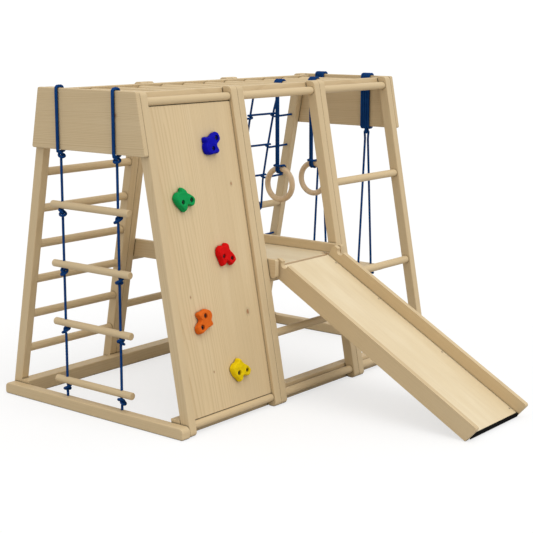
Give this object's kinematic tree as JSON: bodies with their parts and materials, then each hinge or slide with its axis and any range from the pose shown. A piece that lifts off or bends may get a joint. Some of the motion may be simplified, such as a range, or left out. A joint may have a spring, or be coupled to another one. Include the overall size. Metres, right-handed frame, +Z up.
{
  "type": "indoor climbing frame",
  "caption": "Free-standing wooden climbing frame: holds panel, wall-bar ladder, overhead bars, platform with chute, net, rope ladder, gym rings and a swing.",
  "frame": {"origin": "on the floor, at the middle of the underside of the front floor rail, which is the middle of the row of three bays", "axes": "+X along the row of bays, from the climbing panel to the swing; +Y from the front, where the chute comes down, to the back; +Z up"},
  "size_m": [1.8045, 1.8922, 1.3125],
  "materials": {
    "pine_post": "clear-lacquered pine, satin",
    "pine_rod": "turned pine, satin lacquer",
    "pine_board": "planed pine board, satin lacquer",
    "pine_panel": "glued pine panel, satin lacquer",
    "plywood": "birch-faced plywood, smooth lacquer",
    "ring_wood": "laminated ring, gloss lacquer",
    "seat_wood": "planed pine seat, satin lacquer",
    "rope": "braided polypropylene rope",
    "net_cord": "braided cord",
    "hold_blue": "fine-textured moulding",
    "hold_green": "fine-textured moulding",
    "hold_red": "fine-textured moulding",
    "hold_orange": "fine-textured moulding",
    "hold_yellow": "fine-textured moulding",
    "steel": "zinc-plated",
    "rubber": "ribbed"
  },
  "bodies": {
    "frame": {"post_front_1": "pine_post", "post_back_1": "pine_post", "post_front_2": "pine_post", "post_back_2": "pine_post", "post_front_3": "pine_post", "post_back_3": "pine_post", "post_front_4": "pine_post", "post_back_4": "pine_post", "post_front_5": "pine_post", "post_back_5": "pine_post", "post_front_6": "pine_post", "post_back_6": "pine_post", "post_screws": "steel", "rods_top": "pine_rod", "rods_foot": "pine_rod", "rungs_left_back": "pine_rod", "rungs_right_front": "pine_rod", "rods_middle": "pine_rod", "rod_net": "pine_rod", "rail_top_front": "pine_board", "rail_top_back": "pine_board", "rail_floor_front": "pine_board", "rail_floor_back": "pine_board", "bars_overhead": "pine_rod", "board_end_left": "pine_board", "board_end_right": "pine_board", "rail_base_left": "pine_board", "rail_base_right": "pine_board", "panel_climbing": "pine_panel", "panel_cleats": "pine_board", "hold_blue": "hold_blue", "hold_green": "hold_green", "hold_red": "hold_red", "hold_orange": "hold_orange", "hold_yellow": "hold_yellow", "hold_bolts": "steel", "hold_nuts": "steel", "deck": "plywood", "deck_bearers": "pine_board", "guard_left": "pine_board", "guard_right": "pine_board", "ladder_ropes": "rope", "ladder_rungs": "pine_rod", "net": "net_cord", "swing_sling_front": "rope", "swing_sling_back": "rope"},
    "chute": {"chute_bed": "plywood", "chute_side_left": "pine_board", "chute_side_right": "pine_board", "chute_battens": "pine_board", "chute_grip_strip": "rubber", "chute_screws": "steel"},
    "ring_left": {"ring_left": "ring_wood", "ring_strap_left": "rope"},
    "ring_right": {"ring_right": "ring_wood", "ring_strap_right": "rope"},
    "swing": {"swing_seat": "seat_wood", "swing_rope_front": "rope", "swing_rope_back": "rope"}
  },
  "joints": [
    {"name": "chute_tilt", "type": "hinge", "parent": "frame", "child": "chute", "pos_m": [0, 0.04881, 0.512], "axis": [-1, 0, 0], "range_deg": [0, 12]},
    {"name": "ring_left_swing", "type": "hinge", "parent": "frame", "child": "ring_left", "pos_m": [0.34875, 0.4443, 1.272], "axis": [0, -1, 0], "range_deg": [-45, 12]},
    {"name": "ring_right_swing", "type": "hinge", "parent": "frame", "child": "ring_right", "pos_m": [0.62775, 0.4613, 1.272], "axis": [0, -1, 0], "range_deg": [-12, 40]},
    {"name": "seat_swing", "type": "hinge", "parent": "frame", "child": "swing", "pos_m": [0.848, 0.4443, 1.039], "axis": [0, -1, 0], "range_deg": [-35, 35]}
  ]
}
